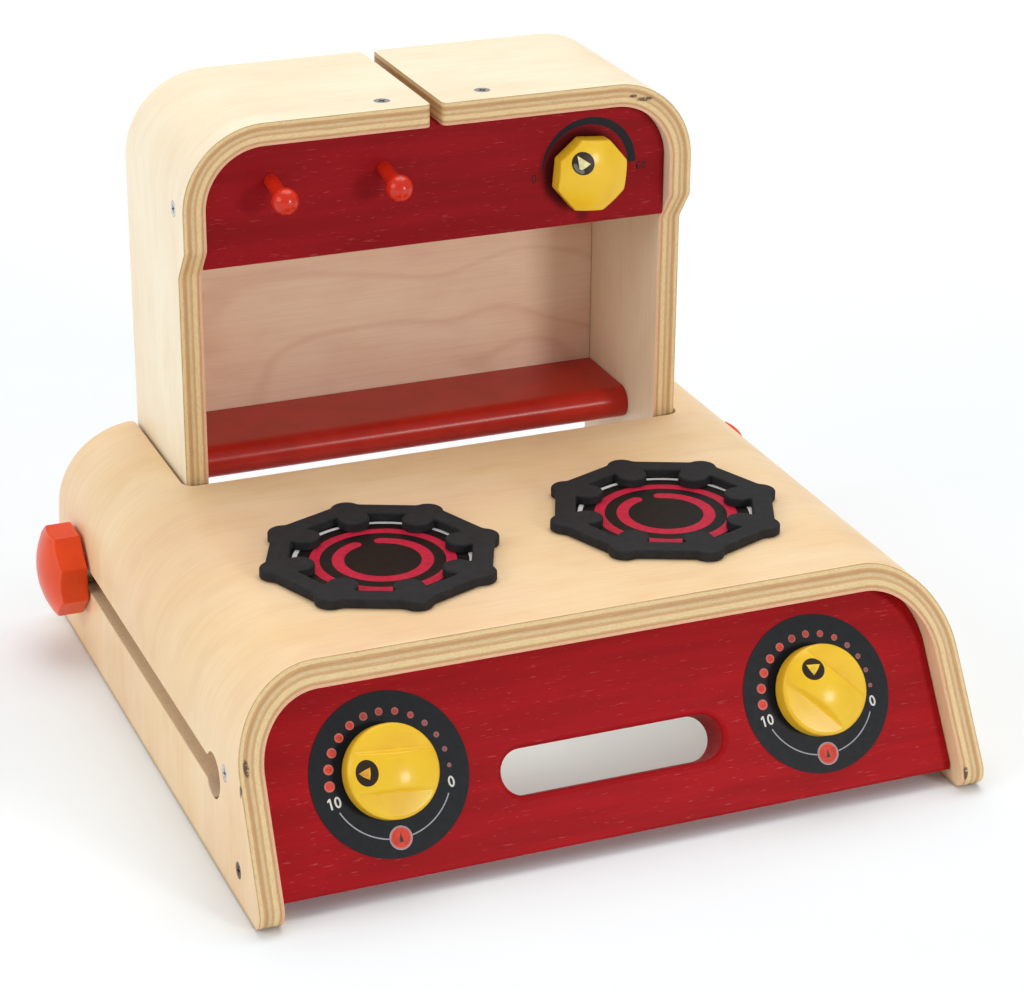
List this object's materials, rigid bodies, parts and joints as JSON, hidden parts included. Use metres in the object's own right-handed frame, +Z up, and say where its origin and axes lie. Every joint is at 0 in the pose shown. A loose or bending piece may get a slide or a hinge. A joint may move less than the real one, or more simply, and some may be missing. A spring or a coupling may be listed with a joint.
{
  "type": "toy oven",
  "caption": "Folding toy cooker of bent plywood: hob box with slanted red front, two grates, turning knobs, and a tall hood with shelf, pegs and timer that folds back",
  "frame": {"origin": "on the floor, in the middle of the part's width and depth", "axes": "+Z up, -Y is the front with the slanted red panel, +X to the right seen from the front"},
  "size_m": [0.3672, 0.3176, 0.264],
  "materials": {
    "bent_plywood": "satin clear lacquer over birch ply, bare layered edges",
    "red_stained_wood": "satin red stain with the grain showing",
    "thin_plywood": "satin clear lacquer",
    "plain_wood": "sanded",
    "red_gloss_wood": "gloss red lacquer",
    "printed_foil": "satin printed foil",
    "black_foam_rubber": "matt",
    "yellow_lacquered_wood": "gloss yellow lacquer",
    "orange_red_lacquered_wood": "gloss orange-red lacquer",
    "black_fibre": "matt",
    "brass": "plain",
    "zinc_steel": "bright zinc"
  },
  "bodies": {
    "base": {"base_shell": "bent_plywood", "front_panel": "red_stained_wood", "dial_plate_left": "printed_foil", "dial_plate_right": "printed_foil", "burner_decal_left": "printed_foil", "burner_decal_right": "printed_foil", "grate_left": "black_foam_rubber", "grate_right": "black_foam_rubber", "base_screws": "zinc_steel"},
    "knob_left": {"knob_left": "yellow_lacquered_wood", "spindle_left": "plain_wood", "retainer_left": "zinc_steel"},
    "knob_right": {"knob_right": "yellow_lacquered_wood", "spindle_right": "plain_wood", "retainer_right": "zinc_steel"},
    "hood": {"hood_left": "bent_plywood", "hood_right": "bent_plywood", "hood_panel": "red_stained_wood", "back_panel": "thin_plywood", "shelf": "red_gloss_wood", "peg_left": "orange_red_lacquered_wood", "peg_right": "orange_red_lacquered_wood", "spacer_left": "plain_wood", "spacer_right": "plain_wood", "insert_left": "brass", "insert_right": "brass", "hood_screws": "zinc_steel"},
    "knob_timer": {"knob_timer": "yellow_lacquered_wood", "spindle_timer": "plain_wood", "retainer_timer": "zinc_steel"},
    "clamp_slide_left": {"clamp_washer_left": "black_fibre"},
    "clamp_turn_left": {"clamp_knob_left": "orange_red_lacquered_wood", "clamp_bolt_left": "zinc_steel"},
    "clamp_slide_right": {"clamp_washer_right": "black_fibre"},
    "clamp_turn_right": {"clamp_knob_right": "orange_red_lacquered_wood", "clamp_bolt_right": "zinc_steel"}
  },
  "joints": [
    {"name": "hood_fold", "type": "hinge", "parent": "base", "child": "hood", "pos_m": [0, 0.11932, 0.0405], "axis": [-1, 0, 0], "range_deg": [0, 90]},
    {"name": "left_dial", "type": "hinge", "parent": "base", "child": "knob_left", "pos_m": [-0.0993, -0.12788, 0.04573], "axis": [0, -0.866, 0.5], "range_deg": [-193, 22]},
    {"name": "right_dial", "type": "hinge", "parent": "base", "child": "knob_right", "pos_m": [0.0967, -0.12788, 0.04573], "axis": [0, -0.866, 0.5], "range_deg": [-152, 63]},
    {"name": "timer_dial", "type": "hinge", "parent": "hood", "child": "knob_timer", "pos_m": [0.0715, 0.07182, 0.2228], "axis": [0, -1, 0], "range_deg": [-140, 60]},
    {"name": "clamp_left_travel", "type": "slide", "parent": "hood", "child": "clamp_slide_left", "axis": [-1, 0, 0], "range_m": [0, 0.005]},
    {"name": "clamp_left_turn", "type": "hinge", "parent": "clamp_slide_left", "child": "clamp_turn_left", "pos_m": [-0.16366, 0.11932, 0.0405], "axis": [-1, 0, 0], "range_deg": [0, 1441]},
    {"name": "clamp_right_travel", "type": "slide", "parent": "hood", "child": "clamp_slide_right", "axis": [1, 0, 0], "range_m": [0, 0.005]},
    {"name": "clamp_right_turn", "type": "hinge", "parent": "clamp_slide_right", "child": "clamp_turn_right", "pos_m": [0.16366, 0.11932, 0.0405], "axis": [1, 0, 0], "range_deg": [0, 1441]}
  ],
  "couplings": [
    {"joint": "clamp_left_turn", "follows": "clamp_left_travel", "rad_per_m": 5026.5},
    {"joint": "clamp_right_turn", "follows": "clamp_right_travel", "rad_per_m": 5026.5}
  ]
}
